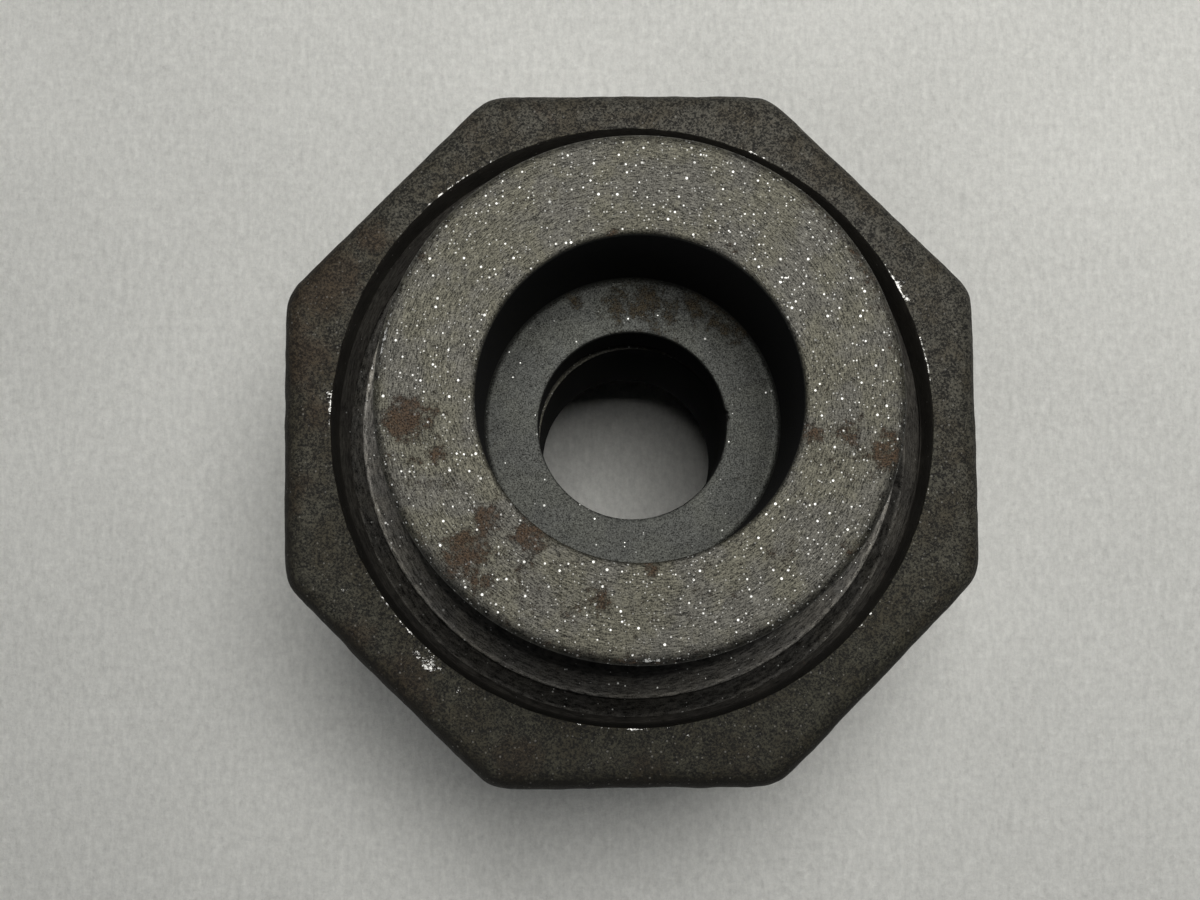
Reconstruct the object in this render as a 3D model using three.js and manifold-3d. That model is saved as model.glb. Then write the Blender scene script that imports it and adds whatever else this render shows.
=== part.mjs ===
// Socket-weld pipe union in forged steel, for 1/4 inch pipe, made up hand tight.
//
// Three pieces on one bore axis. The tail stands on its pipe end with its ball nose up. The thread end
// sits upside down on that ball with its cone seat, and carries the outside thread. The octagonal nut
// hooks its lip under the tail's shoulder and runs up the thread, which pulls ball and cone together.
//
// Millimetres, +Z up along the bore. The origin is on the bore axis, on the face that the tail stands on.
import * as THREE from 'three';
import { mergeVertices } from 'three/addons/utils/BufferGeometryUtils.js';
import Module from 'manifold-3d';

// Pipe ends: the same boss and socket on the tail and on the thread end.
const pipeEndDiameter = 23.26;
const pipeEndProjection = 11.1; // how far each pipe end stands out of the nut
const socketDiameter = 14.4;
const socketDepth = 11.5;
const edgeBreak = 0.35;
const mouthBreak = 0.2;

// Bores between the sockets.
const threadEndBore = 9.2;
const tailBore = 9.5;

// Ball and cone seat, touching on a circle of this diameter.
const seatDiameter = 15.8;
const seatAngle = Math.PI / 4;
const noseRise = 6.5; // nose above the shoulder's top face
const noseFlat = 0.4;

// Shoulder on the tail, and the land and fillet at the root of the thread end's boss.
const shoulderThickness = 3.4;
const shoulderBreak = 0.4;
const landDepth = 2.1; // land below the nut's top face
const bossFillet = 0.75;
const shoulderFillet = 0.25;

// Nut.
const nutHeight = 19.1;
const nutWall = 2.5; // between the thread's clearance and the middle of a flat
const lipThickness = 2.9;
const bearingWidth = 1.12; // lip under shoulder
const mouthDepth = 2.5;
const mouthFlare = 0.2;
const nutCornerRadius = 1.5;
const nutEdgeRound = 0.9;

// Thread: unified form, 16 to the inch.
const pitch = 25.4 / 16;
const flank = Math.PI / 6;
const outsideDepth = 0.61343 * pitch;
const insideDepth = 0.54127 * pitch;
const crestWidth = pitch / 8;
const threadEndAngle = Math.PI / 5; // where the outside thread runs out under the land

// Clearances.
const lipClearance = 0.35; // pipe end in the lip
const shoulderClearance = 0.53; // shoulder through the nut's thread
const threadClearance = 0.2;
const reliefClearance = 0.1;
const bearingGap = 0.2;
const seatGap = 0.15;
const footGap = 0.6;

// Facets.
const roundSegments = 40;
const threadSegments = 40;
const cornerSegments = 3;
const arcSteps = 3;
const overrun = 1; // cutters stand this far past what they cut
const ridgeSink = 0.12; // the thread's ridge starts this far inside its core

// Radii, from the pipe end outwards.
const pipeEndR = pipeEndDiameter / 2;
const lipR = pipeEndR + lipClearance;
const shoulderR = lipR + bearingWidth;
const insideMinorR = shoulderR + shoulderClearance;
const majorR = insideMinorR + insideDepth - threadClearance; // 14.29, a 1 1/8 inch thread
const rootR = majorR - outsideDepth;
const grooveR = majorR + threadClearance;
const reliefR = grooveR + reliefClearance;
const acrossFlats = 2 * (grooveR + nutWall);

// Heights, from the table up.
const nutBottom = pipeEndProjection;
const nutTop = nutBottom + nutHeight;
const assembledLength = nutTop + pipeEndProjection;
const lipTop = nutBottom + lipThickness;
const shoulderBottom = lipTop + bearingGap;
const shoulderTop = shoulderBottom + shoulderThickness;
const noseTop = shoulderTop + noseRise;
const threadFoot = shoulderTop + footGap;
const land = nutTop - landDepth;
const threadTop = nutTop - mouthDepth;
const socketFloor = assembledLength - socketDepth;

// The ball's centre is on the axis, and the cone touches the full ball at the seat's angle.
const ballR = seatDiameter / 2 / Math.sin(seatAngle);
const ballSurfaceR = ballR - seatGap;
const noseR = tailBore / 2 + noseFlat;
const ballHeight = noseTop - Math.sqrt(ballSurfaceR ** 2 - noseR ** 2);
const coneRadiusAt = (z) => (ballR - (z - ballHeight) * Math.cos(seatAngle)) / Math.sin(seatAngle);
const coneHeightAt = (r) => ballHeight + (ballR - r * Math.sin(seatAngle)) / Math.cos(seatAngle);

const wasm = await Module();
wasm.setup();

// Points on an arc in the (radius, height) plane, both ends included.
function arc(centreR, centreZ, radius, from, to, steps = arcSteps) {
  return Array.from({ length: steps + 1 }, (_, i) => {
    const angle = from + ((to - from) * i) / steps;
    return [centreR + radius * Math.cos(angle), centreZ + radius * Math.sin(angle)];
  });
}

// Turns a closed (radius, height) outline, listed anticlockwise, about Z.
function turned(outline) {
  const points = [...outline, outline[0]].map(([r, z]) => new THREE.Vector2(r, z));
  return new THREE.LatheGeometry(points, roundSegments).rotateX(Math.PI / 2);
}

// A closed three.js geometry as a solid that can be cut and joined.
function solid(geometry) {
  geometry.deleteAttribute('normal');
  geometry.deleteAttribute('uv');
  const merged = mergeVertices(geometry);
  return new wasm.Manifold(new wasm.Mesh({
    numProp: 3,
    vertProperties: new Float32Array(merged.attributes.position.array),
    triVerts: new Uint32Array(merged.index.array),
  }));
}

// A solid's surface as a named three.js mesh.
function named(name, shape, material) {
  const { vertProperties, triVerts } = shape.getMesh();
  const geometry = new THREE.BufferGeometry();
  geometry.setAttribute('position', new THREE.BufferAttribute(new Float32Array(vertProperties), 3));
  geometry.setIndex(new THREE.BufferAttribute(new Uint32Array(triVerts), 1));
  geometry.computeVertexNormals();
  const mesh = new THREE.Mesh(geometry, material);
  mesh.name = name;
  return mesh;
}

// Half the width of the thread's ridge at a radius; grown moves its flanks out square to themselves.
function ridgeHalfWidth(radius, grown) {
  return crestWidth / 2 + (majorR - radius) * Math.tan(flank) + grown / Math.cos(flank);
}

// A right-handed ridge: a straight bar whose every corner is moved onto a helix about Z. The bar's far
// end is at endAngle and endHeight, and over its last fadeTurns it sinks back to its inner radius.
function helicalRidge({ innerR, outerR, grown, turns, endAngle, endHeight, fadeTurns }) {
  const bar = new THREE.BoxGeometry(1, 1, 1, 1, 1, Math.round(turns * threadSegments));
  const corners = bar.attributes.position;
  for (let i = 0; i < corners.count; i++) {
    const turnsToEnd = turns * (corners.getZ(i) + 0.5);
    const height = fadeTurns > 0 ? Math.min(1, turnsToEnd / fadeTurns) : 1;
    const outer = corners.getX(i) > 0;
    const radius = outer ? innerR + (outerR - innerR) * height : innerR;
    const half = ridgeHalfWidth(outer ? outerR : innerR, grown);
    const angle = endAngle - 2 * Math.PI * turnsToEnd;
    const z = endHeight - pitch * turnsToEnd + 2 * half * corners.getY(i);
    corners.setXYZ(i, radius * Math.cos(angle), radius * Math.sin(angle), z);
  }
  return bar;
}

// The middle of the outside thread's ridge where it runs out under the land.
const ridgeEndHeight = land - ridgeHalfWidth(rootR, 0);
const turnsBelow = (z) => (ridgeEndHeight - z) / pitch;

// Boss and socket above, land and threaded barrel below, and the cone seat open downwards.
function threadEnd() {
  const body = solid(turned([
    [coneRadiusAt(threadFoot), threadFoot],
    [rootR - shoulderBreak, threadFoot],
    [rootR, threadFoot + shoulderBreak],
    [rootR, land],
    ...arc(pipeEndR + bossFillet, land + bossFillet, bossFillet, -Math.PI / 2, -Math.PI),
    [pipeEndR, assembledLength - edgeBreak],
    [pipeEndR - edgeBreak, assembledLength],
    [socketDiameter / 2 + mouthBreak, assembledLength],
    [socketDiameter / 2, assembledLength - mouthBreak],
    [socketDiameter / 2, socketFloor],
    [threadEndBore / 2, socketFloor],
    [threadEndBore / 2, coneHeightAt(threadEndBore / 2)],
  ]));
  const ridge = solid(helicalRidge({
    innerR: rootR - ridgeSink,
    outerR: majorR,
    grown: 0,
    turns: turnsBelow(threadFoot) + 1,
    endAngle: threadEndAngle,
    endHeight: ridgeEndHeight,
    fadeTurns: 0.25,
  }));
  // The barrel's own outline trims the ridge square at the foot, with a lead-in chamfer.
  const barrel = solid(turned([
    [rootR - 2 * ridgeSink, threadFoot + shoulderBreak],
    [rootR, threadFoot + shoulderBreak],
    [majorR + ridgeSink, threadFoot + shoulderBreak + majorR + ridgeSink - rootR],
    [majorR + ridgeSink, land],
    [rootR - 2 * ridgeSink, land],
  ]));
  return body.add(ridge.intersect(barrel));
}

// Boss and socket below, shoulder in the middle, ball nose above.
function tail() {
  const shoulderAngle = Math.asin((shoulderTop - ballHeight) / ballSurfaceR);
  const noseAngle = Math.acos(noseR / ballSurfaceR);
  return solid(turned([
    [socketDiameter / 2 + mouthBreak, 0],
    [pipeEndR - edgeBreak, 0],
    [pipeEndR, edgeBreak],
    ...arc(pipeEndR + shoulderFillet, shoulderBottom - shoulderFillet, shoulderFillet, Math.PI, Math.PI / 2),
    [shoulderR - shoulderBreak, shoulderBottom],
    [shoulderR, shoulderBottom + shoulderBreak],
    [shoulderR, shoulderTop - shoulderBreak],
    [shoulderR - shoulderBreak, shoulderTop],
    ...arc(0, ballHeight, ballSurfaceR, shoulderAngle, noseAngle, 2 * arcSteps),
    [tailBore / 2, noseTop],
    [tailBore / 2, socketDepth],
    [socketDiameter / 2, socketDepth],
    [socketDiameter / 2, mouthBreak],
  ]));
}

// Octagon with flats square to X and Y and an arc at each corner.
function octagon() {
  const outline = new THREE.Shape();
  const step = Math.PI / 4;
  const toCorner = (acrossFlats / 2 - nutCornerRadius) / Math.cos(step / 2);
  for (let i = 0; i < 8; i++) {
    const corner = (i + 0.5) * step;
    const x = toCorner * Math.cos(corner);
    const y = toCorner * Math.sin(corner);
    outline.absarc(x, y, nutCornerRadius, corner - step / 2, corner + step / 2, false);
  }
  return outline;
}

// Octagonal block, bored from below for the lip and from above for the thread.
function nut() {
  const block = solid(new THREE.ExtrudeGeometry(octagon(), {
    depth: nutHeight - 2 * nutEdgeRound,
    curveSegments: cornerSegments,
    bevelThickness: nutEdgeRound,
    bevelSize: nutEdgeRound,
    bevelOffset: -nutEdgeRound,
    bevelSegments: 2,
  }).translate(0, 0, nutBottom + nutEdgeRound));
  const chamber = solid(turned([
    [0, nutBottom - overrun],
    [lipR, nutBottom - overrun],
    [lipR, lipTop],
    [reliefR, lipTop],
    [reliefR, threadFoot],
    [insideMinorR, threadFoot + reliefR - insideMinorR],
    [insideMinorR, threadTop - grooveR + insideMinorR],
    [grooveR, threadTop],
    [grooveR + mouthFlare, nutTop],
    [grooveR + mouthFlare, nutTop + overrun],
    [0, nutTop + overrun],
  ]));
  const turnsAbove = Math.ceil((threadTop - ridgeEndHeight) / pitch) + 1;
  const groove = solid(helicalRidge({
    innerR: insideMinorR - ridgeSink,
    outerR: grooveR,
    grown: threadClearance,
    turns: turnsBelow(threadFoot) + turnsAbove,
    endAngle: threadEndAngle,
    endHeight: ridgeEndHeight + turnsAbove * pitch,
    fadeTurns: 0,
  }));
  return block.subtract(chamber).subtract(groove);
}

const machinedSteel = new THREE.MeshStandardMaterial({ color: 0x8d8a80, roughness: 0.45, metalness: 0.9 });
const turnedSteel = new THREE.MeshStandardMaterial({ color: 0x6f7072, roughness: 0.5, metalness: 0.9 });
const forgedSkin = new THREE.MeshStandardMaterial({ color: 0x4a4641, roughness: 0.75, metalness: 0.6 });

const union = new THREE.Group();
union.add(named('thread_end', threadEnd(), machinedSteel));
union.add(named('tail', tail(), turnedSteel));
union.add(named('union_nut', nut(), forgedSkin));

export default union;
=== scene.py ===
# Socket-weld pipe union in forged steel for 1/4 inch pipe: thread end, octagonal nut and tail, made up
# hand tight and standing on the tail. Sizes are in millimetres until a mesh is filled.
import math

import bmesh
import bpy
import numpy as np
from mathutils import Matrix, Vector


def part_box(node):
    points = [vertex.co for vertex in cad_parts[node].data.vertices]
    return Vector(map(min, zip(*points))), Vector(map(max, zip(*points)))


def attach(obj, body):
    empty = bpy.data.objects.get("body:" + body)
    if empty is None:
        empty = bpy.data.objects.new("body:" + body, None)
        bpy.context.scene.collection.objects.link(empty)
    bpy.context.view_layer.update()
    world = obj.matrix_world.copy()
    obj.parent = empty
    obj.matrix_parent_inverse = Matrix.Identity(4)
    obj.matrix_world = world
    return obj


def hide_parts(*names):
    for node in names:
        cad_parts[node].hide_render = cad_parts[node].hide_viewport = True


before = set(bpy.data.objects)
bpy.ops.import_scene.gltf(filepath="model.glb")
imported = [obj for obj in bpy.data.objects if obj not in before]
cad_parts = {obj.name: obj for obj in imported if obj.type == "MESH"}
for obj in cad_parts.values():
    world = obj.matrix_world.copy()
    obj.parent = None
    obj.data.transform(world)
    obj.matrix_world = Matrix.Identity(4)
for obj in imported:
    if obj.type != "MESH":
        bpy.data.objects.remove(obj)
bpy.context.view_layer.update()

# ---------------------------------------------------------------------------------------------------
# Thread end. A forged blank turned all over: a boss with the socket for the pipe, a land at its foot, and
# a 1 1/8 inch 16 tpi thread below. Inside, a through bore opens into the cone that sits on the tail's ball.
# ---------------------------------------------------------------------------------------------------
THREAD_FOOT, FACE_HEIGHT = (round(1000 * corner.z, 3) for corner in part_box("thread_end"))
SOCKET_DEPTH, BOSS_LENGTH = 11.5, 13.2
SOCKET_FLOOR = FACE_HEIGHT - SOCKET_DEPTH
LAND_HEIGHT = FACE_HEIGHT - BOSS_LENGTH
PIPE_END = 11.63  # the boss's outside radius; the next six are radii too
SOCKET = 7.2
THREAD_BORE = 4.6
CONE_MOUTH = 11.955
MAJOR = 14.289
ROOT = 13.315
LAND_EDGE = 13.2
PITCH = 25.4 / 16
RIDGE_END = (math.radians(36), 27.439)  # the angle and height where the thread's ridge runs out
FOOT_CHAMFER, LAND_ROUND, FILLET, FACE_ROUND = 0.4, 0.1, 0.75, 0.4
MOUTH_ROUND, FLOOR_ROUND, BORE_ROUND = 0.2, 0.25, 0.12


def rows(*corners, step):
    """Points along a polyline of (radius, height) corners, each straight cut into equal steps of at most
    step. The last corner is left for the next run to start on."""
    parts = []
    for a, b in zip(corners[:-1], corners[1:]):
        count = max(1, math.ceil(math.hypot(b[0] - a[0], b[1] - a[1]) / step))
        share = np.arange(count)[:, None] / count
        parts.append(np.array(a) * (1 - share) + np.array(b) * share)
    return np.concatenate(parts)


def bend(centre, radius, start, end, steps):
    """Points of an arc: centre plus radius times (cos, sin) of angles from start to end in degrees."""
    turn = np.radians(np.linspace(start, end, steps + 1))
    return np.stack([centre[0] + radius * np.cos(turn), centre[1] + radius * np.sin(turn)], 1)


def helix_rows(angles, crest_half, root_half, foot, head):
    """Heights of rows that follow the thread: each row is a fixed place across the thread's form, so its
    height is the ridge's height at that angle plus its offset, kept between foot and head."""
    across = np.array([-PITCH / 2, -root_half, -(root_half + 2 * crest_half) / 3, -crest_half, 0.0,
                       crest_half, (root_half + 2 * crest_half) / 3, root_half])
    lowest = math.floor((foot - RIDGE_END[1]) / PITCH) - 1
    highest = math.ceil((head - RIDGE_END[1]) / PITCH) + 1
    turns = np.arange(lowest, highest + 1)[:, None] * PITCH
    offsets = (turns + across).reshape(-1, 1)
    lead = PITCH * (angles - RIDGE_END[0]) / (2 * math.pi)
    return np.clip(RIDGE_END[1] + offsets + lead, foot, head)


def across_thread(angles, heights):
    """Distance from the nearest ridge's middle, and how many turns that place on the ridge lies before
    the thread's end."""
    turns = (heights - RIDGE_END[1]) / PITCH - (angles - RIDGE_END[0]) / (2 * math.pi)
    nearest = np.floor(turns + 0.5)
    return (turns - nearest) * PITCH, -(nearest + (angles - RIDGE_END[0]) / (2 * math.pi))


def flank(off_middle, crest_half, root_half):
    """1 within crest_half of the ridge's middle, 0 beyond root_half, and a straight flank between."""
    return np.clip((root_half - np.abs(off_middle)) / (root_half - crest_half), 0, 1)


def soft_step(values, low, high):
    """0 below low, 1 above high, and a smooth cubic between."""
    share = np.clip((values - low) / (high - low), 0, 1)
    return share * share * (3 - 2 * share)


def hump(values, middle, width):
    """1 at the middle and a bell curve round it: e to the minus square of the distance over the width."""
    return np.exp(-((values - middle) / width) ** 2)


def toward(angles, *places):
    """Sum over the places, each (degrees, reach, strength): the strength at that angle, falling evenly to
    nothing at reach degrees to either side."""
    total = 0.0
    for middle, reach, strength in places:
        away = np.abs((np.degrees(angles) - middle + 180) % 360 - 180)
        total = total + strength * np.clip(1 - away / reach, 0, 1)
    return total


def by_direction(angles, *marks):
    """A number that runs evenly from mark to mark round the piece, each mark a (degrees, value)."""
    turns = np.array([m[0] for m in marks] + [marks[0][0] + 360.0])
    values = np.array([m[1] for m in marks] + [marks[0][1]])
    return np.interp((np.degrees(angles) - turns[0]) % 360 + turns[0], turns, values)


def spots(points, places):
    """Soft round patches, each (x, y, reach, strength): strongest at its middle, gone at its reach."""
    total = np.zeros(points.shape[:-1])
    for x, y, reach, strength in places:
        away = np.hypot(points[..., 0] - x, points[..., 1] - y) / reach
        total = np.maximum(total, strength * np.clip(1 - away * away, 0, None))
    return total


def in_space(radii, heights, angles):
    """Points (radius cos, radius sin, height)."""
    return np.stack([radii * np.cos(angles), radii * np.sin(angles), heights], -1)


def turned_piece(name, radii, heights, angles, numbers, materials, zones=None, offset=0.0):
    """A closed ring-shaped surface: the rows of points run anticlockwise round the section, and the last
    column lies on the first. Points that coincide, at the seam and where rows of the thread end, are
    welded. Numbers are kept at the mesh's points for the materials, and zones pick each row's material."""
    count, across = radii.shape
    points = in_space(radii, heights, angles) + offset
    row, column = np.meshgrid(np.arange(count), np.arange(across - 1), indexing="ij")
    above = (row + 1) % count
    quads = np.stack([row * across + column, row * across + column + 1,
                      above * across + column + 1, above * across + column], -1).reshape(-1, 4)
    mesh = bpy.data.meshes.new(name)
    mesh.from_pydata(points.reshape(-1, 3) * 0.001, [], quads)
    for key, values in numbers.items():
        layer = mesh.attributes.new(key, "FLOAT", "POINT")
        layer.data.foreach_set("value", np.broadcast_to(values, radii.shape).ravel().astype(np.float32))
    for material in materials:
        mesh.materials.append(material)
    if zones is not None:
        mesh.polygons.foreach_set("material_index", np.repeat(zones, across - 1).astype(np.int32))
    shell = bmesh.new()
    shell.from_mesh(mesh)
    bmesh.ops.remove_doubles(shell, verts=shell.verts, dist=2e-7)
    bmesh.ops.dissolve_degenerate(shell, dist=1e-8, edges=shell.edges)
    shell.to_mesh(mesh)
    shell.free()
    mesh.shade_smooth()
    mesh.set_sharp_from_angle(angle=math.radians(38))
    piece = bpy.data.objects.new(name, mesh)
    bpy.context.scene.collection.objects.link(piece)
    return piece


def new_material(name):
    """A new material with its node tree and its one Principled surface."""
    material = bpy.data.materials.new(name)
    material.use_nodes = True
    return material, material.node_tree, material.node_tree.nodes["Principled BSDF"]


def put(tree, kind, inputs=None, **settings):
    """Adds a node, sets its settings, and fills each named input with a value or joins it to a socket."""
    made = tree.nodes.new("ShaderNode" + kind)
    for key, value in settings.items():
        setattr(made, key, value)
    for key, value in (inputs or {}).items():
        if isinstance(value, bpy.types.NodeSocket):
            tree.links.new(value, made.inputs[key])
        else:
            made.inputs[key].default_value = value
    return made


def calc(tree, operation, a, b=0.0, c=0.0, clamp=False):
    """One step of arithmetic on numbers or sockets."""
    return put(tree, "Math", {0: a, 1: b, 2: c}, operation=operation, use_clamp=clamp).outputs[0]


def centred(tree, noise, share):
    """Noise about 0.5 turned into a number about 0 that swings by share."""
    return calc(tree, "MULTIPLY_ADD", noise, share, -share / 2)


def fade(tree, value, low, high):
    """0 where value is below low and 1 above high, smoothly between."""
    return put(tree, "MapRange", {"Value": value, "From Min": low, "From Max": high},
               interpolation_type="SMOOTHSTEP").outputs["Result"]


def blend(tree, share, a, b, how="MIX"):
    """Colour a turned into colour b by share."""
    return put(tree, "Mix", {0: share, 6: a, 7: b}, data_type="RGBA", blend_type=how).outputs[2]


def darken(tree, colour, shade, warm=0.0):
    """The colour times the number, and the lower the number, the less blue is left, by warm."""
    blue = calc(tree, "MULTIPLY", shade, calc(tree, "MULTIPLY_ADD", shade, warm, 1 - warm))
    tint = put(tree, "CombineColor", {0: shade, 1: shade, 2: blue}).outputs[0]
    return blend(tree, 1.0, colour, tint, "MULTIPLY")


def bumps(tree, surface, height, depth):
    """Tilts the surface as if the number were a height, up to a depth in metres."""
    bump = put(tree, "Bump", {"Strength": 1.0, "Distance": depth, "Height": height})
    tree.links.new(bump.outputs[0], surface.inputs["Normal"])


def in_millimetres(tree):
    """Object coordinates in millimetres."""
    place = put(tree, "TexCoord").outputs["Object"]
    return put(tree, "Mapping", {"Vector": place, "Scale": (1000, 1000, 1000)}).outputs[0]


def cloud(tree, place, scale, detail, rough, seed=0.0):
    """Soft noise over the surface, moved along by seed."""
    moved = put(tree, "VectorMath", {0: place, 1: (seed, 1.7 * seed, -seed)}).outputs[0]
    return put(tree, "TexNoise", {"Vector": moved, "Scale": scale, "Detail": detail,
                                  "Roughness": rough}).outputs["Fac"]


def tool_marks(tree, place, per_mm):
    """Marks left by the tool, as short arcs round the axis: noise over the direction from the axis, times
    32, and over the radius plus 0.73 of the height, times per_mm, so that walls are marked too."""
    flat = put(tree, "VectorMath", {0: place, 1: (1, 1, 0)}, operation="MULTIPLY").outputs[0]
    radius = put(tree, "VectorMath", {0: flat}, operation="LENGTH").outputs["Value"]
    height = put(tree, "SeparateXYZ", {0: place}).outputs[2]
    lathe = calc(tree, "MULTIPLY", calc(tree, "MULTIPLY_ADD", height, 0.73, radius), per_mm)
    facing = put(tree, "VectorMath", {0: flat}, operation="NORMALIZE").outputs[0]
    facing = put(tree, "VectorMath", {0: facing, 1: (32, 32, 0)}, operation="MULTIPLY").outputs[0]
    lathe = put(tree, "CombineXYZ", {2: lathe}).outputs[0]
    spot = put(tree, "VectorMath", {0: facing, 1: lathe}).outputs[0]
    return cloud(tree, spot, 1.0, 2.0, 0.6)


def sparkles(tree, place, per_mm, size, share, seed=0.0):
    """Small bright facets: the middles of random cells, in a share of the cells only, each of its own size
    and brightness."""
    moved = put(tree, "VectorMath", {0: place, 1: (seed, seed, seed)}).outputs[0]
    cells = put(tree, "TexVoronoi", {"Vector": moved, "Scale": per_mm})
    pick = put(tree, "SeparateColor", {0: cells.outputs["Color"]})
    reach = calc(tree, "MULTIPLY_ADD", pick.outputs[1], size * 0.6, size * 0.4)
    shown = calc(tree, "LESS_THAN", pick.outputs[0], share)
    shown = calc(tree, "MULTIPLY", shown, calc(tree, "MULTIPLY_ADD", pick.outputs[2], 0.85, 0.15))
    inside = fade(tree, calc(tree, "SUBTRACT", reach, cells.outputs["Distance"]), 0.0, size * 0.5)
    return calc(tree, "MULTIPLY", inside, shown)


def from_mesh(tree, key):
    """A number kept at the mesh's points."""
    return put(tree, "Attribute", attribute_name=key).outputs["Fac"]


def turned_steel(name, warm, cool, mark_share, grain_share, sparkle_share, rough=0.64, marks_per_mm=9.0,
                 rusty=(0.092, 0.053, 0.029, 1)):
    """Turned steel: two tints in clouds, tool marks and grain over them, and painted highlights of bright
    facets.
    The mesh's numbers ask for the rest, each broken up by noise: rust, painted shade in hollows and bores,
    glint for bare edges painted as highlights, and shade, painted shade and light over the whole."""
    metal = 0.75
    pit_brown = (0.020, 0.017, 0.012, 1)
    highlight_white = (0.92, 0.92, 0.89, 1)
    recess_shade_black = (0.0012, 0.0012, 0.0012, 1)
    rust_dark = (0.015, 0.009, 0.0055, 1)
    material, tree, surface = new_material(name)
    place = in_millimetres(tree)

    tint = fade(tree, cloud(tree, place, 0.5, 4.0, 0.6), 0.40, 0.60)
    grain = cloud(tree, place, 14.0, 2.0, 0.75, 3.1)
    broad = cloud(tree, place, 1.2, 4.0, 0.65, 8.8)
    marks = tool_marks(tree, place, marks_per_mm)
    shade = calc(tree, "ADD", centred(tree, marks, mark_share), 1.0)
    shade = calc(tree, "ADD", centred(tree, grain, grain_share), shade)
    shade = calc(tree, "ADD", centred(tree, broad, 0.7), shade)
    shade = calc(tree, "MULTIPLY", calc(tree, "MAXIMUM", shade, 0.15), from_mesh(tree, "shade"))
    colour = darken(tree, blend(tree, tint, warm, cool), shade)
    pits = fade(tree, cloud(tree, place, 3.4, 5.0, 0.8, 7.7), 0.58, 0.68)
    colour = blend(tree, calc(tree, "MULTIPLY", pits, 0.6), colour, pit_brown)

    # Painted highlights: bright facets, and the glint at edges, turned near white as if catching the light.
    painted_highlights = calc(tree, "MAXIMUM", sparkles(tree, place, 2.8, 0.22, sparkle_share),
                 sparkles(tree, place, 5.5, 0.30, sparkle_share * 0.75, 4.2))
    painted_highlights = calc(tree, "MULTIPLY", painted_highlights, fade(tree, cloud(tree, place, 0.5, 2.0, 0.5, 11.0), 0.15, 0.50))
    glint = calc(tree, "ADD", from_mesh(tree, "glint"),
                 centred(tree, cloud(tree, place, 3.0, 3.0, 0.8, 1.9), 2.0))
    painted_highlights = calc(tree, "MAXIMUM", painted_highlights, fade(tree, glint, 0.62, 0.85))
    colour = blend(tree, painted_highlights, colour, highlight_white)

    # Painted shade in hollows and bores: near black where the mesh's number asks for it.
    recess_shade = calc(tree, "ADD", from_mesh(tree, "recess_shade"), centred(tree, grain, 0.4))
    recess_shade = fade(tree, recess_shade, 0.2, 0.9)
    colour = blend(tree, recess_shade, colour, recess_shade_black)
    eaten = calc(tree, "ADD", from_mesh(tree, "rust"),
                 centred(tree, cloud(tree, place, 1.7, 9.0, 0.88, 5.5), 4.2))
    eaten = fade(tree, eaten, 0.40, 0.90)
    brown = blend(tree, fade(tree, grain, 0.38, 0.62), rust_dark, rusty)
    colour = blend(tree, calc(tree, "MULTIPLY", eaten, 0.82), colour, brown)
    tree.links.new(colour, surface.inputs["Base Color"])

    surface.inputs["Specular IOR Level"].default_value = 0.3
    dull = calc(tree, "MAXIMUM", eaten, recess_shade)
    tree.links.new(calc(tree, "MULTIPLY_ADD", dull, -metal * 0.85, metal), surface.inputs["Metallic"])
    worn = calc(tree, "MULTIPLY_ADD", grain, 0.2, rough - 0.1)
    worn = calc(tree, "MULTIPLY_ADD", painted_highlights, -0.2, worn)
    tree.links.new(calc(tree, "MULTIPLY_ADD", dull, 0.35, worn, clamp=True), surface.inputs["Roughness"])
    height = calc(tree, "MULTIPLY_ADD", marks, mark_share * 0.3, grain)
    height = calc(tree, "MULTIPLY_ADD", eaten, calc(tree, "MULTIPLY", grain, 1.5), height)
    bumps(tree, surface, height, 0.000012)
    return material


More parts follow.
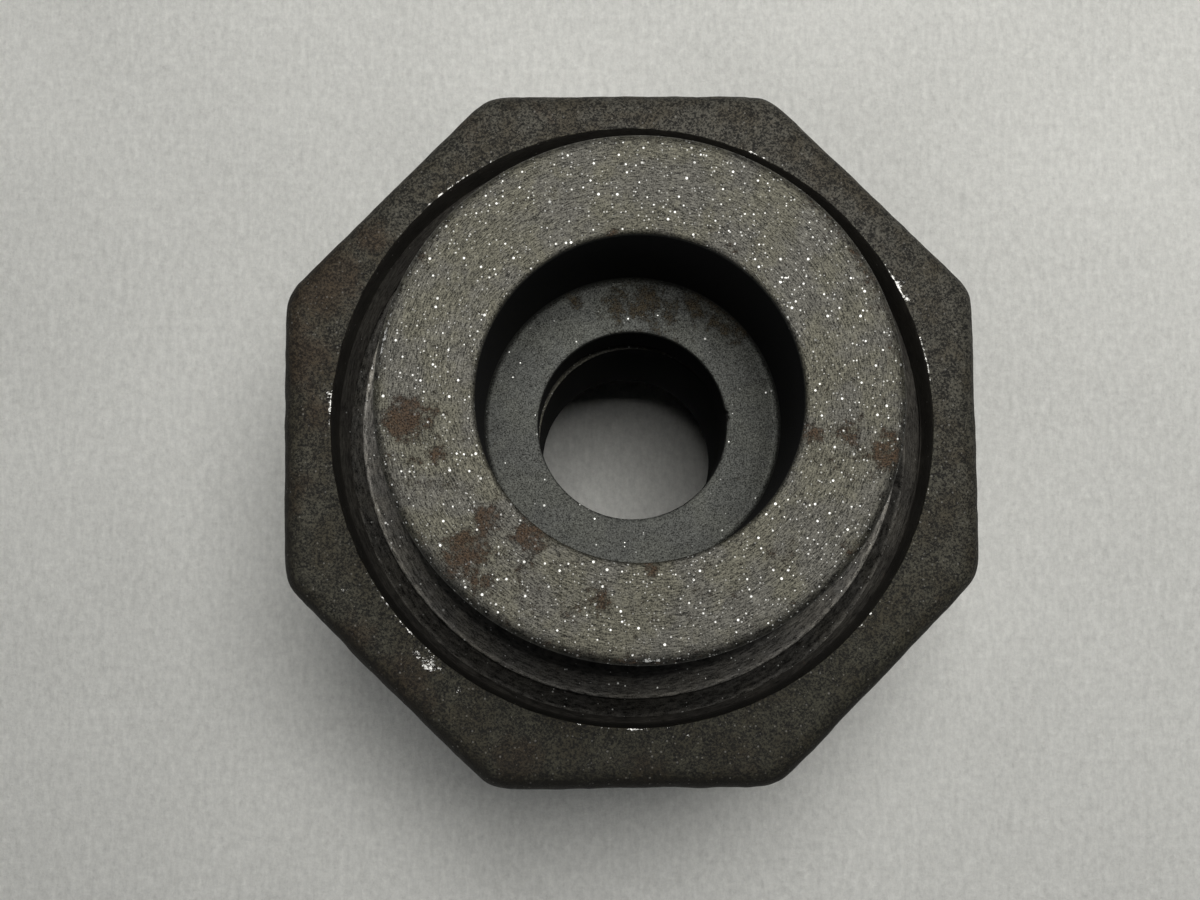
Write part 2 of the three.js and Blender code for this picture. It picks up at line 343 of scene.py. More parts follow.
angles = np.linspace(0, 2 * math.pi, 481)
thread_start, thread_head = THREAD_FOOT + FOOT_CHAMFER, LAND_HEIGHT - LAND_ROUND
cone_top = THREAD_FOOT + CONE_MOUTH - THREAD_BORE
below = np.concatenate([
    rows((CONE_MOUTH, THREAD_FOOT), (ROOT - FOOT_CHAMFER, THREAD_FOOT), step=0.25),
    rows((ROOT - FOOT_CHAMFER, THREAD_FOOT), (ROOT, thread_start), step=0.2),
])
above = np.concatenate([
    bend((ROOT - LAND_ROUND, thread_head), LAND_ROUND, 0, 90, 2),
    rows((LAND_EDGE, LAND_HEIGHT), (PIPE_END + FILLET, LAND_HEIGHT), step=0.2)[1:],
    bend((PIPE_END + FILLET, LAND_HEIGHT + FILLET), FILLET, 270, 180, 6),
    rows((PIPE_END, LAND_HEIGHT + FILLET), (PIPE_END, FACE_HEIGHT - FACE_ROUND), step=0.9)[1:],
    bend((PIPE_END - FACE_ROUND, FACE_HEIGHT - FACE_ROUND), FACE_ROUND, 0, 90, 6),
    rows((PIPE_END - FACE_ROUND, FACE_HEIGHT), (SOCKET + MOUTH_ROUND, FACE_HEIGHT), step=0.14)[1:],
    bend((SOCKET + MOUTH_ROUND, FACE_HEIGHT - MOUTH_ROUND), MOUTH_ROUND, 90, 180, 3),
    rows((SOCKET, FACE_HEIGHT - MOUTH_ROUND), (SOCKET, SOCKET_FLOOR + FLOOR_ROUND), step=0.55)[1:],
    bend((SOCKET - FLOOR_ROUND, SOCKET_FLOOR + FLOOR_ROUND), FLOOR_ROUND, 0, -90, 3),
    rows((SOCKET - FLOOR_ROUND, SOCKET_FLOOR), (THREAD_BORE + BORE_ROUND, SOCKET_FLOOR), step=0.2)[1:],
    bend((THREAD_BORE + BORE_ROUND, SOCKET_FLOOR - BORE_ROUND), BORE_ROUND, 90, 180, 2),
    rows((THREAD_BORE, SOCKET_FLOOR - BORE_ROUND), (THREAD_BORE, cone_top), step=0.5)[1:],
    rows((THREAD_BORE, cone_top), (CONE_MOUTH, THREAD_FOOT), step=0.7),
])
crest_half = PITCH / 16
root_half = crest_half + (MAJOR - ROOT) * math.tan(math.pi / 6)
thread_heights = helix_rows(angles, crest_half, root_half, thread_start, thread_head)
off_middle, before_end = across_thread(angles, thread_heights)
form = flank(off_middle, crest_half, root_half) * np.clip(before_end / 0.25, 0, 1)
thread_radii = ROOT + (MAJOR - ROOT) * form
thread_radii = np.minimum(thread_radii, ROOT + thread_heights - thread_start)
radii = np.concatenate([
    np.broadcast_to(below[:, :1], (len(below), len(angles))), thread_radii,
    np.broadcast_to(above[:, :1], (len(above), len(angles))),
])
heights = np.concatenate([
    np.broadcast_to(below[:, 1:], (len(below), len(angles))), thread_heights,
    np.broadcast_to(above[:, 1:], (len(above), len(angles))),
])
over_face, over_floor, over_land = heights - FACE_HEIGHT, heights - SOCKET_FLOOR, heights - LAND_HEIGHT
nick = hump(angles, math.radians(4.5), 0.035) + hump(angles, math.radians(8), 0.02)
radii = radii + 0.13 * nick * (radii < THREAD_BORE + 0.3) * soft_step(over_floor, -0.8, -0.2)
points = in_space(radii, heights, angles)

# Rust: patches on the face and on the socket's floor, and a stain along the face's edge.
on_face = soft_step(over_face, -0.3, -0.05)
on_floor = soft_step(over_floor, -0.2, -0.05) * (1 - soft_step(over_floor, 0.4, 0.8))
on_floor = on_floor * (radii < SOCKET + 0.1)
rust = on_face * spots(points, [
    (-10.2, -1.05, 1.4, 1.0), (-9.1, -0.8, 0.6, 0.8), (-8.8, -2.6, 0.7, 0.75), (-7.6, -6.9, 1.5, 0.95),
    (-6.6, -5.4, 1.0, 0.9), (-4.7, -6.0, 1.2, 0.95), (-6.9, -8.2, 0.9, 0.7), (-9.6, -3.0, 0.6, 0.5),
    (7.4, -1.7, 0.8, 0.85), (9.1, -1.75, 0.8, 0.85), (10.6, -2.5, 1.0, 0.95), (10.8, -1.7, 0.7, 0.8),
    (-1.75, -8.8, 0.9, 0.75), (0.4, -7.4, 0.6, 0.8), (-1.2, 7.1, 0.5, 0.6), (4.1, 6.4, 0.6, 0.5),
    (6.0, -7.0, 0.9, 0.5), (9.0, -6.5, 0.8, 0.5), (-3.0, -9.3, 0.8, 0.5), (-9.5, 6.0, 0.6, 0.4),
    (-6.0, -7.0, 5.0, 0.30), (9.5, -2.0, 3.5, 0.26), (-9.5, -2.0, 3.2, 0.26), (2.0, -9.0, 4.0, 0.20),
])
edge_rust = toward(angles, (32, 40, 0.5), (195, 30, 0.3), (270, 70, 0.35))
edge_rust = edge_rust * hump(radii, PIPE_END - 0.28, 0.45)
rust = np.maximum(rust, soft_step(over_face, -0.4, -0.2) * edge_rust)
rust = np.maximum(rust, on_floor * spots(points, [
    (-2.8, 6.1, 0.7, 0.7), (-0.9, 5.9, 1.2, 0.7), (0.6, 6.0, 1.5, 0.75), (1.8, 5.7, 1.2, 0.6),
    (3.2, 5.8, 1.4, 0.7), (4.4, 5.1, 1.2, 0.7), (5.1, 4.5, 0.9, 0.7), (0.2, 5.1, 1.0, 0.5),
    (0.8, 5.9, 3.4, 0.42),
]))

# Painted shade: the fillet at the boss's foot, the socket's wall and the bore darkened towards black, where
# shade falls.
at_foot = (1 - soft_step(radii, PIPE_END + 0.52, PIPE_END + 0.87)) * (radii > PIPE_END - 0.03)
at_foot = at_foot * soft_step(over_land, -0.1, 0.0) * (1 - soft_step(over_land, 1.5, 2.3))
in_socket = soft_step(over_floor, 0.15, 0.8) * (1 - soft_step(over_face, -0.4, -0.15))
in_socket = in_socket * (radii < SOCKET + 0.05)
in_bore = (1 - soft_step(over_floor, -0.3, -0.1)) * (radii < THREAD_BORE + BORE_ROUND)
recess_shade = np.maximum(np.maximum(at_foot * 0.58, in_socket), in_bore)

# Glint: bare metal along the edges of face, land and floor, painted near white as highlights where the
# light catches it, and one short streak of painted sheen on the face.
face_rim = hump(radii, PIPE_END - 0.23, 0.09) * soft_step(over_face, -0.3, -0.1)
land_rim = hump(radii, LAND_EDGE - 0.03, 0.09) * soft_step(over_land, -0.15, -0.05)
floor_rim = hump(radii, SOCKET - 0.22, 0.06) * on_floor
glint = face_rim * toward(angles, (157, 26, 0.75), (168, 6, 0.6), (272, 14, 0.9))
glint = glint + land_rim * toward(angles, (168, 14, 0.85)) + floor_rim * toward(angles, (345, 70, 0.35))
# A short streak of painted sheen on the face, where its turned rings catch the light.
sheen_x, sheen_y, sheen_slope, sheen_half = 6.3, 5.15, 0.72, 0.9
along = points[..., 0] - sheen_x
sheen_streak = hump(points[..., 1] - sheen_slope * along, sheen_y, 0.14)
glint = glint + 0.85 * on_face * sheen_streak * np.clip(1 - np.abs(along) / sheen_half, 0, 1)

# Shade, painted light and shade: the land and thread by direction, painted highlights as lighter lines
# along edges, the socket floor and the face lighter in some directions, and painted shade on the darker
# round of the face.
land_shade = by_direction(angles, (0, 1.1), (90, 1.0), (180, 1.2), (225, 0.8), (270, 0.40), (320, 0.65))
shade = np.where((over_floor < -0.3) & (radii >= SOCKET + 0.2), land_shade, 1.0)
shade = shade * (1 + hump(radii, SOCKET - 0.18, 0.07) * on_floor * toward(angles, (0, 95, 1.0)))
shade = shade * (1 + on_floor * toward(angles, (90, 85, 0.4)))
shade = shade * (1 + on_face * by_direction(angles, (0, 0.03), (90, 0.02), (180, 0.16), (270, 0.07)))
shade = shade * (1 + 1.5 * hump(radii, LAND_EDGE + 0.02, 0.07) * soft_step(over_land, -0.2, -0.05))
crest_edge = hump(np.abs(off_middle), crest_half + 0.02, 0.06)
shade[len(below):len(below) + len(thread_heights)] *= 0.75 + 1.8 * crest_edge
round_edge = soft_step(radii, PIPE_END - 0.78, PIPE_END - 0.08) * soft_step(over_face, -0.7, -0.35)
round_edge = round_edge * by_direction(angles, (0, 0.5), (90, 0.0), (180, 0.25), (230, 0.95), (270, 1.0),
                                       (315, 0.85))
shade = shade * (1 - 0.72 * round_edge)

faced_steel = turned_steel("faced_steel", (0.091, 0.087, 0.068, 1), (0.087, 0.084, 0.073, 1),
                           3.6, 4.6, 1.0, marks_per_mm=19.0)
bored_steel = turned_steel("bored_steel", (0.075, 0.077, 0.069, 1), (0.069, 0.071, 0.066, 1),
                           1.6, 5.0, 0.10, rusty=(0.125, 0.096, 0.052, 1))
cut_steel = turned_steel("cut_steel", (0.112, 0.106, 0.093, 1), (0.098, 0.094, 0.086, 1),
                         3.6, 3.0, 0.20, marks_per_mm=12.0)
FACED, BORED, CUT = range(3)
row_radii, row_heights = radii[:, 0], heights[:, 0]
turned = np.arange(len(radii)) >= len(below) + len(thread_heights)
zone_of_row = np.where(turned, FACED, CUT)
zone_of_row = np.where(turned & (row_heights < LAND_HEIGHT + 0.9) & (row_radii > PIPE_END + 0.07), CUT,
                       zone_of_row)
zone_of_row = np.where(turned & (row_heights < FACE_HEIGHT - 0.1) & (row_radii < SOCKET + 0.05), BORED,
                       zone_of_row)
thread_end = turned_piece("turned_thread_end", radii, heights, angles,
                          {"rust": rust, "recess_shade": recess_shade, "glint": glint, "shade": shade},
                          (faced_steel, bored_steel, cut_steel), zone_of_row)
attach(thread_end, "thread_end")
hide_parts("thread_end")

# ---------------------------------------------------------------------------------------------------
# Nut. A drop-forged octagon left in its scale, bored and threaded from above. Its lip hooks under the
# tail's shoulder. The forging's sides are a little off centre and not quite straight.
# ---------------------------------------------------------------------------------------------------
NUT_BOTTOM, NUT_TOP = (round(1000 * corner.z, 3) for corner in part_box("union_nut"))
LIP, LIP_TOP, LIP_CHAMFER, LIP_TOP_CHAMFER = 11.98, 14.0, 0.3, 0.2
NUT_MINOR, NUT_GROOVE, NUT_RELIEF = 13.63, 14.489, 14.589
NUT_THREAD_FOOT, NUT_THREAD_TOP = 18.2, 27.7
GROOVE_FLOOR_HALF, GROOVE_MOUTH_HALF = 0.2147, 0.7107
NUT_MOUTH = 14.68
EDGE = 1.15  # radius of the forging's rounded edges
# Each side of the octagon: the direction it faces, in degrees, and its distance from the axis.
SIDES = [(135.31, 16.656), (90.24, 16.505), (45.7, 16.60), (0.88, 16.90),
         (-44.4, 17.262), (-89.5, 17.573), (-134.4, 17.38), (-179.58, 16.99)]
# The runs of rows that make up the nut's section, in order.
OUTSIDE, TOP, MOUTH_WALL, THREAD, CHAMBER, UNDERSIDE = range(6)


def lumps(points, size, seed):
    """Smooth random field from -1 to 1: random numbers on a cubic lattice of the given spacing, blended
    between the eight corners of the cell by a cubic in each direction."""
    table = np.random.default_rng(seed).uniform(-1, 1, (32, 32, 32))
    place = points / size
    cell = np.floor(place).astype(int)
    part = place - cell
    part = part * part * (3 - 2 * part)
    total = 0.0
    for corner in np.ndindex(2, 2, 2):
        weight = np.prod(np.where(corner, part, 1 - part), axis=-1)
        index = (cell + corner) % 32
        total = total + weight * table[index[..., 0], index[..., 1], index[..., 2]]
    return total


def octagon_reach(angles, sharpness=62.0):
    """Distance from the axis to the octagon: the smooth least of every side's distance over the cosine of
    the angle to it, with the corners rounded by the power mean."""
    middling = 17.0
    total = 0.0
    for turn, distance in SIDES:
        facing = np.cos(angles - math.radians(turn))
        reach = np.where(facing > 0.2, distance / np.maximum(facing, 0.2), 5 * middling)
        total = total + (reach / middling) ** -sharpness
    return middling * total ** (-1 / sharpness)


even = np.linspace(0, 2 * math.pi, 529)
angles = even - 0.45 * np.sin(8 * (even - math.pi / 8)) / 8
reach = octagon_reach(angles)


def forged(inset, height):
    """One row of the forged outside: the octagon drawn in by inset, at a height."""
    return reach - inset, np.full_like(reach, height)


def inward(radius, share, height):
    """One flat row: the octagon's reach within its edge, turned into a round radius by share."""
    return (reach - EDGE) * (1 - share) + radius * share, np.full_like(reach, height)


def round_rows(profile):
    """One round row for each (radius, height)."""
    return [(np.full_like(reach, radius), np.full_like(reach, height)) for radius, height in profile]


groove_heights = helix_rows(angles, GROOVE_FLOOR_HALF, GROOVE_MOUTH_HALF, NUT_THREAD_FOOT, NUT_THREAD_TOP)
groove_heights = groove_heights[::-1]
off_middle = across_thread(angles, groove_heights)[0]
form = flank(off_middle, GROOVE_FLOOR_HALF, GROOVE_MOUTH_HALF)
groove_radii = NUT_MINOR + (NUT_GROOVE - NUT_MINOR) * form
groove_radii = np.maximum(groove_radii, NUT_RELIEF - (groove_heights - NUT_THREAD_FOOT))
groove_radii = np.maximum(groove_radii, NUT_GROOVE - (NUT_THREAD_TOP - groove_heights))
groups = {
    OUTSIDE: [forged(EDGE - EDGE * math.sin(a), NUT_BOTTOM + EDGE - EDGE * math.cos(a))
              for a in np.radians(np.linspace(0, 90, 6))]
    + [forged(0.0, z) for z in np.linspace(NUT_BOTTOM + EDGE, NUT_TOP - EDGE, 40)[1:-1]]
    + [forged(EDGE - EDGE * math.cos(a), NUT_TOP - EDGE + EDGE * math.sin(a))
       for a in np.radians(np.linspace(0, 90, 8))],
    TOP: [inward(NUT_MOUTH, share, NUT_TOP) for share in 1 - (1 - np.linspace(0, 1, 16)[1:]) ** 1.35],
    MOUTH_WALL: round_rows([(NUT_MOUTH - 0.02, NUT_TOP - 0.07), (NUT_MOUTH - 0.05, NUT_TOP - 0.2)])
    + round_rows(rows((NUT_MOUTH - 0.06, NUT_TOP - 0.3), (NUT_GROOVE + 0.02, NUT_THREAD_TOP), step=0.35)),
    THREAD: list(zip(groove_radii, groove_heights)),
    CHAMBER: round_rows(np.concatenate([
        rows((NUT_RELIEF, NUT_THREAD_FOOT - 0.2), (NUT_RELIEF, LIP_TOP),
             (LIP + LIP_TOP_CHAMFER, LIP_TOP), step=0.5),
        rows((LIP + LIP_TOP_CHAMFER, LIP_TOP), (LIP, LIP_TOP - LIP_TOP_CHAMFER),
             (LIP, NUT_BOTTOM + LIP_CHAMFER), (LIP + LIP_CHAMFER, NUT_BOTTOM), step=0.4),
    ])),
    UNDERSIDE: [inward(LIP + LIP_CHAMFER, 1 - share, NUT_BOTTOM) for share in np.linspace(0, 1, 13)[:-1]],
}
radii = np.array([r for group in groups.values() for r, z in group])
heights = np.array([z for group in groups.values() for r, z in group])
group_of_row = np.repeat(list(groups), [len(group) for group in groups.values()])
points = in_space(radii, heights, angles)
on_outside, on_top, underneath = (group_of_row[:, None] == group for group in (OUTSIDE, TOP, UNDERSIDE))

# The forging's skin: lumps of four sizes, pushed out sideways on the sides and up or down on the ends.
skin = (on_outside | on_top | underneath) * soft_step(radii, NUT_MOUTH - 0.02, NUT_MOUTH + 0.42)
skin = skin + underneath * soft_step(radii, LIP + 0.32, LIP + 0.82) * (radii < NUT_MOUTH + 0.22)
rough_skin = (0.055 * lumps(points, 3.1, 1) + 0.030 * lumps(points, 1.1, 2) + 0.020 * lumps(points, 0.5, 3)
              + 0.012 * lumps(points, 0.27, 4)) * np.clip(skin, 0, 1)
over_edge = np.clip((heights - (NUT_TOP - EDGE)) / EDGE, 0, 1)
under_edge = np.clip((NUT_BOTTOM + EDGE - heights) / EDGE, 0, 1)
lean = np.where(on_top | underneath, 1.0, on_outside * np.maximum(over_edge, under_edge))
upward = np.where(heights > (NUT_BOTTOM + NUT_TOP) / 2, 1.0, -1.0)
radii = radii + rough_skin * np.sqrt(1 - lean)
heights = heights + rough_skin * lean * upward
burr = hump(points[..., 2], NUT_TOP - 0.05, 0.12) * hump(radii, NUT_MOUTH, 0.10)
chip = lumps(points, 0.55, 5) + 0.6 * lumps(points, 0.22, 6)
radii = radii + 0.018 * burr * chip
heights = heights + 0.02 * burr * chip


def forged_scale(name):
    """Forge scale: near-black grey with pale grains and dark pits between them, in darker and browner
    clouds. The mesh's numbers ask for rust, for painted shade on the rounded edge, for glint, bare metal at
    the mouth and in chips painted near white as highlights, and for shade, painted shade which darkens the
    whole."""
    grey_dark, grey_pale = (0.0085, 0.008, 0.0065, 1), (0.112, 0.106, 0.090, 1)
    brown_dark, brown_pale = (0.0085, 0.007, 0.0045, 1), (0.078, 0.066, 0.046, 1)
    rust_dark, rust_pale = (0.014, 0.008, 0.004, 1), (0.075, 0.048, 0.028, 1)
    edge_shade_dark = (0.0085, 0.0062, 0.0036, 1)
    fleck_pale, highlight_white = (0.34, 0.33, 0.30, 1), (0.78, 0.77, 0.74, 1)
    material, tree, surface = new_material(name)
    place = in_millimetres(tree)

    grain = cloud(tree, place, 8.0, 3.0, 0.85, 2.2)
    pebble = cloud(tree, place, 2.8, 3.0, 0.65, 6.1)
    tone = calc(tree, "MULTIPLY_ADD", grain, 0.72, calc(tree, "MULTIPLY", pebble, 0.28))
    pale = fade(tree, tone, 0.43, 0.585)
    clouds = fade(tree, cloud(tree, place, 0.42, 5.0, 0.65, 9.0), 0.42, 0.62)
    colour = blend(tree, calc(tree, "MULTIPLY", clouds, 0.75), blend(tree, pale, grey_dark, grey_pale),
                   blend(tree, pale, brown_dark, brown_pale))
    rust = calc(tree, "ADD", from_mesh(tree, "rust"),
                centred(tree, cloud(tree, place, 0.9, 6.0, 0.75, 5.0), 1.6))
    colour = blend(tree, calc(tree, "MULTIPLY", fade(tree, rust, 0.25, 0.85), 0.7), colour,
                   blend(tree, pale, rust_dark, rust_pale))
    # Painted shade: the rounded edge turned near black on the sides away from the light.
    edge_shade = calc(tree, "ADD", from_mesh(tree, "edge_shade"),
                centred(tree, cloud(tree, place, 1.2, 4.0, 0.7, 4.0), 0.9))
    colour = blend(tree, calc(tree, "MULTIPLY", fade(tree, edge_shade, 0.2, 0.8), 0.85), colour, edge_shade_dark)
    colour = darken(tree, colour, from_mesh(tree, "shade"), warm=0.35)
    flecks = sparkles(tree, place, 4.0, 0.28, 0.8)
    colour = blend(tree, calc(tree, "MULTIPLY", flecks, 0.34), colour, fleck_pale)
    # Painted highlights: bare metal at the mouth and in chips, near white where the light catches it.
    glint = calc(tree, "ADD", from_mesh(tree, "glint"),
                 centred(tree, cloud(tree, place, 3.2, 4.0, 0.8, 8.0), 2.4))
    glint = fade(tree, glint, 0.60, 0.78)
    colour = blend(tree, glint, colour, highlight_white)
    tree.links.new(colour, surface.inputs["Base Color"])

    surface.inputs["Specular IOR Level"].default_value = 0.35
    tree.links.new(calc(tree, "MULTIPLY_ADD", glint, 0.6, 0.3), surface.inputs["Metallic"])
    matt = calc(tree, "MULTIPLY_ADD", tone, -0.25, 0.80)
    tree.links.new(calc(tree, "MULTIPLY_ADD", glint, -0.25, matt), surface.inputs["Roughness"])
    bumps(tree, surface, calc(tree, "MULTIPLY_ADD", pebble, 0.8, grain), 0.00005)
    return material


# Glint: bare metal round the mouth and in a few chips on the top, painted near white as highlights where
# the light catches it.
at_mouth = hump(radii, NUT_MOUTH + 0.03, 0.07) * hump(heights, NUT_TOP, 0.12)
around = toward(angles, (28, 7, 0.75), (12, 12, 0.62), (66, 9, 0.5), (127, 26, 0.5), (177, 8, 0.68),
                (221, 30, 0.45), (270, 20, 0.45), (320, 10, 0.4), (345, 12, 0.35))
glint = at_mouth * np.minimum(1.45 * around, 1.05)
glint = np.maximum(glint, on_top * spots(points, [
    (-9.8, -11.6, 0.6, 0.75), (-10.4, -11.1, 0.4, 0.65), (-9.3, -11.9, 0.35, 0.6), (-8.4, -12.8, 0.35, 0.6),
    (-13.9, -8.0, 0.35, 0.6), (13.1, 6.9, 0.45, 0.7), (13.4, 6.2, 0.35, 0.62), (13.9, 5.4, 0.3, 0.5),
    (7.6, 12.8, 0.3, 0.55), (-14.8, 1.4, 0.3, 0.55), (2.6, -15.0, 0.35, 0.5), (4.2, -14.6, 0.35, 0.5),
]))

# Painted shade: the rounded edge darker on the sides away from the light, and the top and that edge darker
# in some directions.
dark_side = by_direction(angles, (-180, 0.75), (-135, 0.95), (-90, 1.0), (-50, 0.7), (-10, 0.35), (45, 0.2),
                         (90, 0.25), (140, 0.45))
edge_shade = on_outside * dark_side * (0.35 + 0.65 * soft_step(NUT_TOP - heights, 0.0, 0.55))
edge_shade = edge_shade * soft_step(heights, NUT_TOP - EDGE - 0.2, NUT_TOP - EDGE + 0.3)
shade = by_direction(angles, (-180, 0.66), (-135, 0.50), (-90, 0.36), (-45, 0.46), (0, 0.74), (45, 0.92),
                     (90, 0.88), (135, 0.78))
shade = 1 - (1 - shade) * soft_step(heights, NUT_TOP - 2.6, NUT_TOP - EDGE)

# Rust: patches on the top and upper sides, and a thin bloom over the sides below.
rust = (on_outside | on_top) * spots(points, [
    (-15.6, 7.3, 3.2, 0.95), (-16.5, 3.5, 2.8, 0.85), (-15.2, 0.5, 1.5, 0.6), (-5.4, -16.2, 1.8, 0.9),
    (-11.0, -12.8, 2.6, 0.8), (-13.6, -10.4, 2.0, 0.75), (-17.0, -3.5, 2.4, 0.7), (-12.8, 9.2, 1.5, 0.7),
    (14.5, -9.0, 2.0, 0.4), (-8.0, 14.8, 1.6, 0.6), (0.5, -17.0, 2.2, 0.6), (-4.5, 15.6, 1.4, 0.5),
    (5.5, -16.4, 1.8, 0.5),
])
rust = np.maximum(rust, 0.45 * on_outside * (1 - soft_step(heights, NUT_TOP - 3.2, NUT_TOP - 0.7)))

forge_scale = forged_scale("forge_scale")
nut_steel = turned_steel("nut_bore_steel", (0.084, 0.079, 0.069, 1), (0.064, 0.060, 0.054, 1),
                         2.4, 1.0, 0.05, rough=0.5, marks_per_mm=11.0)
nut = turned_piece("forged_nut", radii, heights, angles,
                   {"rust": rust, "glint": glint, "edge_shade": edge_shade, "shade": shade, "recess_shade": 0.0},
                   (forge_scale, nut_steel), np.isin(group_of_row, (MOUTH_WALL, THREAD, CHAMBER)))
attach(nut, "nut")
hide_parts("union_nut")

# ---------------------------------------------------------------------------------------------------
# Tail. Turned from bar or forging: the second socket, the shoulder that the nut pulls on, and the ball
# nose. Its bore runs a little off the axis, which shows as a thin ledge inside the thread end's bore.
# ---------------------------------------------------------------------------------------------------
TAIL_BORE = 4.75
BORE_SHIFT = (0.18, -0.18)
SHOULDER, SHOULDER_LOW, SHOULDER_HIGH = 13.1, 14.2, 17.6  # radius, then heights
SHOULDER_ROUND, NOSE_ROUND, CORNER, TAIL_FOOT_ROUND = 0.3, 0.08, 0.25, 0.3
BALL, BALL_CENTRE = 11.022, 14.355  # radius, and the height of its centre
NOSE, NOSE_HEIGHT = 5.15, 24.1  # the flat end's outer radius and its height

angles = np.linspace(0, 2 * math.pi, 361)
section = np.concatenate([
    rows((SOCKET + MOUTH_ROUND, 0.0), (PIPE_END - TAIL_FOOT_ROUND, 0.0), step=0.25),
    bend((PIPE_END - TAIL_FOOT_ROUND, TAIL_FOOT_ROUND), TAIL_FOOT_ROUND, 270, 360, 5),
    rows((PIPE_END, TAIL_FOOT_ROUND), (PIPE_END, SHOULDER_LOW - CORNER), step=0.7)[1:],
    bend((PIPE_END + CORNER, SHOULDER_LOW - CORNER), CORNER, 180, 90, 3),
    rows((PIPE_END + CORNER, SHOULDER_LOW), (SHOULDER - 0.4, SHOULDER_LOW), step=0.3)[1:],
    bend((SHOULDER - SHOULDER_ROUND, SHOULDER_LOW + SHOULDER_ROUND), SHOULDER_ROUND, 270, 360, 3),
    rows((SHOULDER, SHOULDER_LOW + SHOULDER_ROUND), (SHOULDER, SHOULDER_HIGH - SHOULDER_ROUND),
         step=0.5)[1:],
    bend((SHOULDER - SHOULDER_ROUND, SHOULDER_HIGH - SHOULDER_ROUND), SHOULDER_ROUND, 0, 90, 3),
    bend((0.0, BALL_CENTRE), BALL, math.degrees(math.asin((SHOULDER_HIGH - BALL_CENTRE) / BALL)),
         math.degrees(math.acos(NOSE / BALL)), 26),
    rows((NOSE, NOSE_HEIGHT), (TAIL_BORE + NOSE_ROUND, NOSE_HEIGHT), step=0.15)[1:],
    bend((TAIL_BORE + NOSE_ROUND, NOSE_HEIGHT - NOSE_ROUND), NOSE_ROUND, 90, 180, 2),
    rows((TAIL_BORE, NOSE_HEIGHT - NOSE_ROUND), (TAIL_BORE, SOCKET_DEPTH + BORE_ROUND), step=0.6)[1:],
    bend((TAIL_BORE + BORE_ROUND, SOCKET_DEPTH + BORE_ROUND), BORE_ROUND, 180, 270, 2),
    rows((TAIL_BORE + BORE_ROUND, SOCKET_DEPTH), (SOCKET - FLOOR_ROUND, SOCKET_DEPTH), step=0.25)[1:],
    bend((SOCKET - FLOOR_ROUND, SOCKET_DEPTH - FLOOR_ROUND), FLOOR_ROUND, 90, 0, 3),
    rows((SOCKET, SOCKET_DEPTH - FLOOR_ROUND), (SOCKET, MOUTH_ROUND), step=0.55)[1:],
    bend((SOCKET + MOUTH_ROUND, MOUTH_ROUND), MOUTH_ROUND, 180, 270, 3)[:-1],
])
radii = np.broadcast_to(section[:, :1], (len(section), len(angles)))
heights = np.broadcast_to(section[:, 1:], radii.shape)
in_tail_bore = (section[:, 0] < TAIL_BORE + 0.15) & (section[:, 1] > SOCKET_DEPTH - 0.2)
offset = in_tail_bore[:, None, None] * np.array([*BORE_SHIFT, 0.0])

# Rust in patches outside; painted shade in the socket and bore, under the shoulder, and on the nose but for
# a line.
outside = radii > BALL
rust = 0.75 * soft_step(lumps(in_space(radii, heights, angles), 3.5, 21), 0.25, 0.8) * outside
on_nose = heights > NOSE_HEIGHT - 0.05
inside = (radii < SOCKET + 0.05) * soft_step(heights, 0.1, 0.6) * ~on_nose
inside = inside * (np.abs(heights - SOCKET_DEPTH) > 0.1)
recess_shade = np.maximum(inside, hump(heights, SHOULDER_LOW - 0.4, 0.5) * (radii < PIPE_END + 0.37) * outside)
recess_shade = np.maximum(recess_shade, on_nose * (1 - hump(radii, TAIL_BORE + 0.05, 0.05)))
tail = turned_piece("turned_tail", radii, heights, angles,
                    {"rust": rust, "recess_shade": recess_shade, "glint": 0.0, "shade": 1.0}, (faced_steel,), offset=offset)
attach(tail, "tail")
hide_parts("tail")

# ---------------------------------------------------------------------------------------------------
# Table, light and camera. A sheet of pale paper under a small ceiling lamp above and to the right, a weak
# wide light from the lower left, as from a window, and a little light all round. The camera looks almost
# straight down the bore. Lengths here are in metres.
# ---------------------------------------------------------------------------------------------------
TABLE_HALF = 3.0
paper, tree, surface = new_material("pale_paper")
place = in_millimetres(tree)
fibre = cloud(tree, place, 2.2, 8.0, 0.8)
drawn_out = put(tree, "Mapping", {"Vector": place, "Scale": (2.6, 0.8, 1.0), "Rotation": (0, 0, 0.2)})
felted = cloud(tree, drawn_out.outputs[0], 1.0, 5.0, 0.7, 6.0)
drift = cloud(tree, place, 0.06, 2.0, 0.5, 3.0)
tone = calc(tree, "MULTIPLY_ADD", fibre, 0.54, calc(tree, "MULTIPLY_ADD", drift, 0.18, 0.17))
tone = calc(tree, "MULTIPLY_ADD", felted, 0.32, tone)
colour = put(tree, "CombineColor", {0: tone, 1: tone, 2: calc(tree, "MULTIPLY", tone, 0.955)}).outputs[0]
specks = sparkles(tree, place, 0.16, 0.045, 0.3, 2.0)
speck_dark = (0.05, 0.045, 0.04, 1)
colour = blend(tree, calc(tree, "MULTIPLY", specks, 0.9, clamp=True), colour, speck_dark)
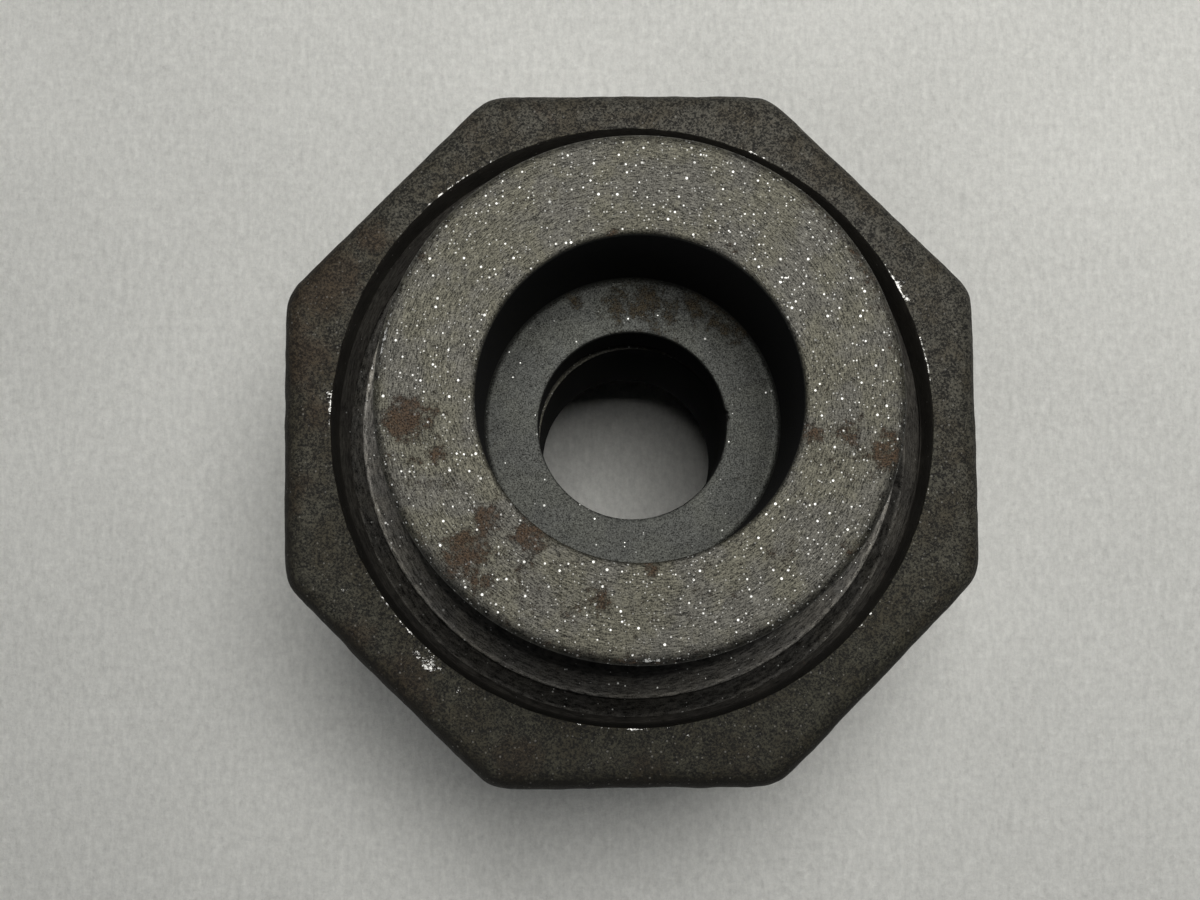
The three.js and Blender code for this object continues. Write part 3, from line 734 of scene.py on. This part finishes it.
tree.links.new(colour, surface.inputs["Base Color"])
surface.inputs["Roughness"].default_value = 0.9
bumps(tree, surface, fibre, 0.0002)
table_mesh = bpy.data.meshes.new("table")
corners = [(-1, -1), (1, -1), (1, 1), (-1, 1)]
table_mesh.from_pydata([(x * TABLE_HALF, y * TABLE_HALF, 0) for x, y in corners], [], [(0, 1, 2, 3)])
table_mesh.materials.append(paper)
table = bpy.data.objects.new("table", table_mesh)
bpy.context.scene.collection.objects.link(table)

lamp = bpy.data.lights.new("ceiling_lamp", "AREA")
lamp.shape = "RECTANGLE"
lamp.size, lamp.size_y, lamp.spread = 0.11, 0.10, math.radians(96)
lamp.energy, lamp.color = 0.290, (1.0, 0.99, 0.965)
ceiling_lamp = bpy.data.objects.new("ceiling_lamp", lamp)
ceiling_lamp.location = (0.0245, 0.0435, 0.30)
ceiling_lamp.rotation_euler = (math.radians(9.0), math.radians(-5.0), 0.0)
bpy.context.scene.collection.objects.link(ceiling_lamp)

daylight = bpy.data.lights.new("window", "AREA")
daylight.shape, daylight.size = "DISK", 0.40
daylight.energy, daylight.color = 0.34, (0.96, 0.98, 1.0)
window = bpy.data.objects.new("window", daylight)
window.location = (-0.40, -0.30, 0.30)
window.rotation_euler = (math.radians(58), 0.0, math.atan2(0.30, 0.40) - math.pi / 2)
bpy.context.scene.collection.objects.link(window)

world = bpy.data.worlds.new("room")
world.use_nodes = True
background = world.node_tree.nodes["Background"]
background.inputs["Color"].default_value = (0.96, 0.98, 1.0, 1)
background.inputs["Strength"].default_value = 0.12
bpy.context.scene.world = world
bpy.context.scene.view_settings.view_transform = "Standard"

lens = bpy.data.cameras.new("camera")
lens.lens, lens.sensor_width = 63.0, 36.0
lens.clip_start, lens.clip_end = 0.005, 5.0
camera = bpy.data.objects.new("camera", lens)
camera.location = (-0.0031556, -0.0110978, 0.1316692)
camera.rotation_euler = (math.radians(5.537), math.radians(-0.888), 0.0)
bpy.context.scene.collection.objects.link(camera)
bpy.context.scene.camera = camera
